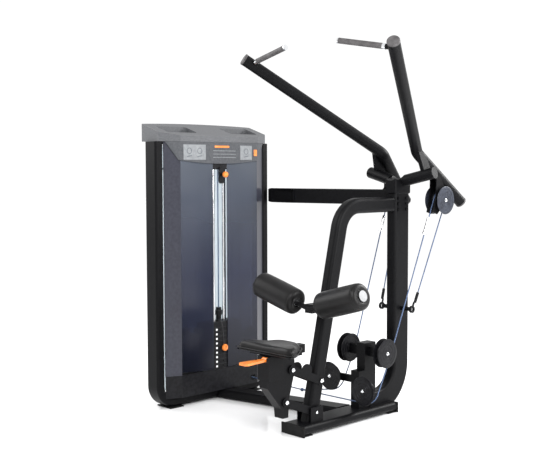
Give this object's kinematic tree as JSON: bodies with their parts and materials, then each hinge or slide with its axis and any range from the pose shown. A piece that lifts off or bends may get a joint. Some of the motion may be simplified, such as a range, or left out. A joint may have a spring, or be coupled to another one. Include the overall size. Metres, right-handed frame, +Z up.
{
  "type": "lat pulldown machine",
  "caption": "Seated lat pulldown machine with diverging overhead arms, cable and pulley drive, enclosed weight stack tower, adjustable seat and thigh rollers.",
  "frame": {"origin": "point on the floor under the middle of the pad at the column end of the main beam, in the middle plane of the seat", "axes": "+Z up, -Y the way the lean post leans from the column to the seat, +X to the right of a person who sits facing the column"},
  "size_m": [1.5421, 1.4937, 1.9206],
  "materials": {
    "powder_black": "satin",
    "rubber_black": "matte",
    "cap_grey": "satin",
    "strip_dark": "gloss",
    "tinted_sheet": "gloss",
    "placard_grey": "satin",
    "chrome_bright": "polished",
    "iron_black": "satin",
    "pulley_black": "satin",
    "cover_blue_grey": "satin",
    "grip_rubber": "matte",
    "seat_vinyl": "satin",
    "orange_plastic": "gloss",
    "cable_dark": "satin",
    "cord_black": "matte"
  },
  "bodies": {
    "frame": {"base_main_beam": "powder_black", "base_link_beam": "powder_black", "base_feet": "rubber_black", "tower_frame": "powder_black", "upright_column": "powder_black", "lean_post": "powder_black", "top_beam": "powder_black", "pivot_head": "powder_black", "pulley_bracket": "powder_black", "pulley_covers": "pulley_black", "base_cable": "cable_dark", "roller_bar": "powder_black", "stack_mounts": "powder_black", "guide_rods": "chrome_bright", "resting_plates": "iron_black", "side_weights": "iron_black", "tower_panels": "tinted_sheet", "tower_side_strips": "strip_dark", "tower_kick_panel": "pulley_black", "top_cap": "cap_grey", "placard": "placard_grey", "stack_cable": "cable_dark"},
    "lifted_weights": {"lifted_stack": "iron_black", "pin_lanyard": "cord_black"},
    "pin": {"selector_pin": "orange_plastic"},
    "knob": {"top_knob": "orange_plastic"},
    "upper_link": {"seat_link_upper": "powder_black"},
    "lower_link": {"seat_link_lower": "powder_black"},
    "seat": {"seat_pad": "seat_vinyl", "seat_carriage": "powder_black"},
    "lever": {"seat_lever": "orange_plastic"},
    "arm_right_body": {"arm_right": "powder_black", "arm_disc_right": "cover_blue_grey", "handle_bar_right": "chrome_bright", "hand_grip_right": "grip_rubber"},
    "arm_wheel_right": {"arm_pulley_right": "pulley_black"},
    "front_fall_right": {"front_cable_right": "cable_dark", "cable_sleeve_right": "chrome_bright"},
    "rear_fall_right": {"rear_cable_right": "cable_dark", "anchor_eye_right": "iron_black"},
    "roller_right": {"thigh_roller_right": "seat_vinyl", "roller_hub_right": "chrome_bright"},
    "lower_wheel_right": {"lower_pulley_right": "pulley_black"},
    "arm_left_body": {"arm_left": "powder_black", "arm_disc_left": "cover_blue_grey", "handle_bar_left": "chrome_bright", "hand_grip_left": "grip_rubber"},
    "arm_wheel_left": {"arm_pulley_left": "pulley_black"},
    "front_fall_left": {"front_cable_left": "cable_dark", "cable_sleeve_left": "chrome_bright"},
    "rear_fall_left": {"rear_cable_left": "cable_dark", "anchor_eye_left": "iron_black"},
    "roller_left": {"thigh_roller_left": "seat_vinyl", "roller_hub_left": "chrome_bright"},
    "lower_wheel_left": {"lower_pulley_left": "pulley_black"},
    "turn_pulley_right_body": {"turn_pulley_right": "pulley_black"},
    "turn_pulley_left_body": {"turn_pulley_left": "pulley_black"},
    "tower_low_pulley_body": {"tower_low_pulley": "pulley_black"},
    "tower_top_pulley_1_body": {"tower_top_pulley_1": "pulley_black"},
    "tower_top_pulley_2_body": {"tower_top_pulley_2": "pulley_black"}
  },
  "joints": [
    {"name": "stack_lift", "type": "slide", "parent": "frame", "child": "lifted_weights", "axis": [0, 0, 1], "range_m": [0, 0.285], "deforming": ["stack_cable"]},
    {"name": "pin_pull", "type": "slide", "parent": "lifted_weights", "child": "pin", "axis": [1, 0, 0], "range_m": [0, 0.05]},
    {"name": "knob_pull", "type": "slide", "parent": "frame", "child": "knob", "axis": [1, 0, 0], "range_m": [0, 0.008], "stiffness_N_per_m": 300},
    {"name": "seat_height", "type": "hinge", "parent": "frame", "child": "upper_link", "pos_m": [0, -0.516, 0.251], "axis": [-1, 0, 0], "range_deg": [-8, 26]},
    {"name": "seat_level", "type": "hinge", "parent": "upper_link", "child": "seat", "pos_m": [0, -0.717, 0.334], "axis": [-1, 0, 0], "range_deg": [-26, 8]},
    {"name": "lower_link_turn", "type": "hinge", "parent": "frame", "child": "lower_link", "pos_m": [0, -0.558, 0.099], "axis": [-1, 0, 0], "range_deg": [-8, 26]},
    {"name": "lever_squeeze", "type": "hinge", "parent": "seat", "child": "lever", "pos_m": [0.03, -0.889, 0.407], "axis": [-1, 0, 0], "range_deg": [0, 12], "stiffness_Nm_per_rad": 4},
    {"name": "arm_right_pull", "type": "hinge", "parent": "frame", "child": "arm_right_body", "pos_m": [0, 0.125, 1.226], "axis": [0.963, 0.1401, 0.2302], "range_deg": [0, 46]},
    {"name": "arm_wheel_right_spin", "type": "hinge", "parent": "arm_right_body", "child": "arm_wheel_right", "pos_m": [0.158, 0.285, 1.13], "axis": [1, 0, 0], "range_deg": [-360, 360]},
    {"name": "front_fall_right_swing", "type": "hinge", "parent": "arm_right_body", "child": "front_fall_right", "pos_m": [0.158, 0.285, 1.13], "axis": [-0.9992, 0.0286, 0.029], "range_deg": [0, 44.12]},
    {"name": "rear_fall_right_swing", "type": "hinge", "parent": "frame", "child": "rear_fall_right", "pos_m": [0.11, 0.119, 0.548], "axis": [0.0099, -0.9359, 0.352], "range_deg": [0, 3.92]},
    {"name": "roller_right_spin", "type": "hinge", "parent": "frame", "child": "roller_right", "pos_m": [0.08, -0.564, 0.632], "axis": [0.9632, -0.0107, 0.2686], "continuous": true},
    {"name": "lower_wheel_right_spin", "type": "hinge", "parent": "frame", "child": "lower_wheel_right", "pos_m": [0.125, -0.13, 0.347], "axis": [1, 0, 0], "range_deg": [-720, 720]},
    {"name": "arm_left_pull", "type": "hinge", "parent": "frame", "child": "arm_left_body", "pos_m": [0, 0.125, 1.226], "axis": [0.963, -0.1401, -0.2302], "range_deg": [0, 46]},
    {"name": "arm_wheel_left_spin", "type": "hinge", "parent": "arm_left_body", "child": "arm_wheel_left", "pos_m": [-0.158, 0.285, 1.13], "axis": [1, 0, 0], "range_deg": [-360, 360]},
    {"name": "front_fall_left_swing", "type": "hinge", "parent": "arm_left_body", "child": "front_fall_left", "pos_m": [-0.158, 0.285, 1.13], "axis": [-0.9992, -0.0286, -0.029], "range_deg": [0, 44.12]},
    {"name": "rear_fall_left_swing", "type": "hinge", "parent": "frame", "child": "rear_fall_left", "pos_m": [-0.11, 0.119, 0.548], "axis": [0.0099, 0.9359, -0.352], "range_deg": [0, 3.92]},
    {"name": "roller_left_spin", "type": "hinge", "parent": "frame", "child": "roller_left", "pos_m": [-0.08, -0.564, 0.632], "axis": [-0.9632, -0.0107, 0.2686], "continuous": true},
    {"name": "lower_wheel_left_spin", "type": "hinge", "parent": "frame", "child": "lower_wheel_left", "pos_m": [-0.125, -0.13, 0.347], "axis": [1, 0, 0], "range_deg": [-720, 720]},
    {"name": "turn_pulley_right_spin", "type": "hinge", "parent": "frame", "child": "turn_pulley_right_body", "pos_m": [0.09, -0.246, 0.163], "axis": [0, 1, 0], "range_deg": [-720, 720]},
    {"name": "turn_pulley_left_spin", "type": "hinge", "parent": "frame", "child": "turn_pulley_left_body", "pos_m": [-0.15, -0.237, 0.206], "axis": [0, 1, 0], "range_deg": [-720, 720]},
    {"name": "tower_low_pulley_spin", "type": "hinge", "parent": "frame", "child": "tower_low_pulley_body", "pos_m": [-0.868, -0.205, 0.14], "axis": [-0.0824, -0.9966, 0], "range_deg": [-720, 720]},
    {"name": "tower_top_pulley_1_spin", "type": "hinge", "parent": "frame", "child": "tower_top_pulley_1_body", "pos_m": [-0.90169, -0.24821, 1.372], "axis": [0.9465, 0.3227, 0], "range_deg": [-720, 720]},
    {"name": "tower_top_pulley_2_spin", "type": "hinge", "parent": "frame", "child": "tower_top_pulley_2_body", "pos_m": [-0.85414, -0.38768, 1.372], "axis": [0.9465, 0.3227, 0], "range_deg": [-720, 720]}
  ],
  "couplings": [
    {"joint": "seat_level", "follows": "seat_height", "ratio": -1},
    {"joint": "lower_link_turn", "follows": "seat_height", "ratio": 1},
    {"joint": "arm_right_pull", "follows": "stack_lift", "rad_per_m": 2.817},
    {"joint": "front_fall_right_swing", "follows": "stack_lift", "rad_per_m": 2.7011},
    {"joint": "rear_fall_right_swing", "follows": "stack_lift", "rad_per_m": 0.23916},
    {"joint": "arm_wheel_right_spin", "follows": "stack_lift", "rad_per_m": -9.0114},
    {"joint": "lower_wheel_right_spin", "follows": "stack_lift", "rad_per_m": 20},
    {"joint": "arm_left_pull", "follows": "stack_lift", "rad_per_m": 2.817},
    {"joint": "front_fall_left_swing", "follows": "stack_lift", "rad_per_m": 2.7011},
    {"joint": "rear_fall_left_swing", "follows": "stack_lift", "rad_per_m": 0.23916},
    {"joint": "arm_wheel_left_spin", "follows": "stack_lift", "rad_per_m": -9.0114},
    {"joint": "lower_wheel_left_spin", "follows": "stack_lift", "rad_per_m": 20},
    {"joint": "turn_pulley_right_spin", "follows": "stack_lift", "rad_per_m": -20},
    {"joint": "turn_pulley_left_spin", "follows": "stack_lift", "rad_per_m": -20},
    {"joint": "tower_low_pulley_spin", "follows": "stack_lift", "rad_per_m": 20},
    {"joint": "tower_top_pulley_1_spin", "follows": "stack_lift", "rad_per_m": 20},
    {"joint": "tower_top_pulley_2_spin", "follows": "stack_lift", "rad_per_m": 20}
  ]
}
